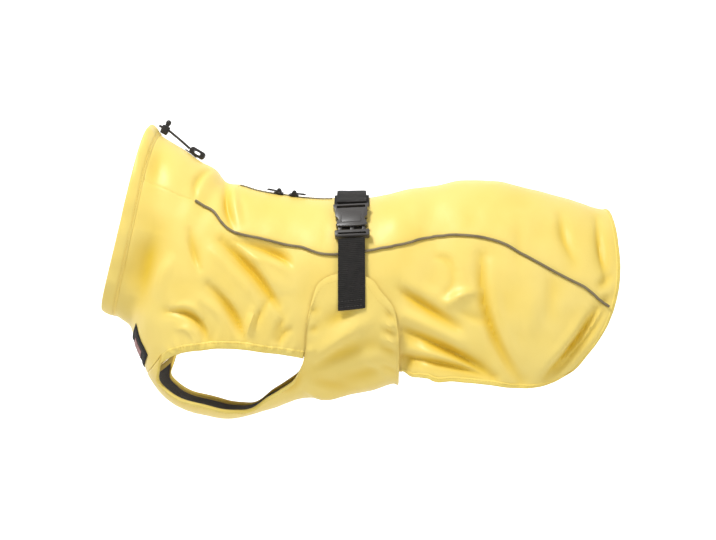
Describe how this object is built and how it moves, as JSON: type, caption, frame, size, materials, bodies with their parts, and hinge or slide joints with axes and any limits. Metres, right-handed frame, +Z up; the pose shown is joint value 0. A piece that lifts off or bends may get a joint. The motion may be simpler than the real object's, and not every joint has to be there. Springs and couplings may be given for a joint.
{
  "type": "dog raincoat",
  "caption": "Worn dog raincoat with a drawstring collar, back zip, reflective piping and a belly flap buckled over the back.",
  "frame": {"origin": "the inner face of the back panel on the middle line under the belly strap, where the coat rests on the wearer's back", "axes": "+Z up, +X from the collar towards the tail, the dog's left side towards -Y"},
  "size_m": [0.5057, 0.1543, 0.2978],
  "materials": {
    "cloth": "smooth coated rainwear cloth, soft satin sheen",
    "lining": "dark knitted lining",
    "webbing": "woven webbing and cord",
    "reflective": "grey reflective piping",
    "plastic": "moulded, lightly glossy",
    "zip": "moulded zip parts and coil"
  },
  "bodies": {
    "coat": {"collar_casing": "cloth", "back_panel": "cloth", "side_panel_left": "cloth", "side_panel_right": "cloth", "chest_belly_panel": "cloth", "chest_lining": "lining", "chest_edge_binding_left": "cloth", "chest_edge_binding_right": "cloth", "leg_binding_left": "cloth", "leg_binding_right": "cloth", "hem_binding": "cloth", "chest_patch": "webbing", "piping_left": "reflective", "piping_right": "reflective", "zip_chain": "zip", "zip_slider_front": "zip", "zip_slider_rear": "zip", "strap_anchor": "webbing", "strap_over_back": "webbing", "strap_loop": "webbing", "strap_left": "webbing", "buckle_female": "plastic", "buckle_male": "plastic", "drawstring_left": "webbing", "drawstring_right": "webbing", "cord_lock_barrel": "plastic", "cord_end": "plastic"},
    "pull_front": {"zip_pull_front": "zip"},
    "pull_rear": {"zip_pull_rear": "zip"},
    "lock_button": {"cord_lock_button": "plastic"}
  },
  "joints": [
    {"name": "pull_front_hinge", "type": "hinge", "parent": "coat", "child": "pull_front", "pos_m": [-0.07198, -0.01528, 0.00808], "axis": [0.0424, 0.9616, 0.271], "range_deg": [0, 115]},
    {"name": "pull_rear_hinge", "type": "hinge", "parent": "coat", "child": "pull_rear", "pos_m": [-0.05705, -0.01528, 0.00592], "axis": [-0.0394, -0.9603, -0.276], "range_deg": [0, 115]},
    {"name": "lock_button_slide", "type": "slide", "parent": "coat", "child": "lock_button", "axis": [0.454, 0, 0.891], "range_m": [-0.002, 0], "stiffness_N_per_m": 300, "springref_m": 0.003}
  ]
}
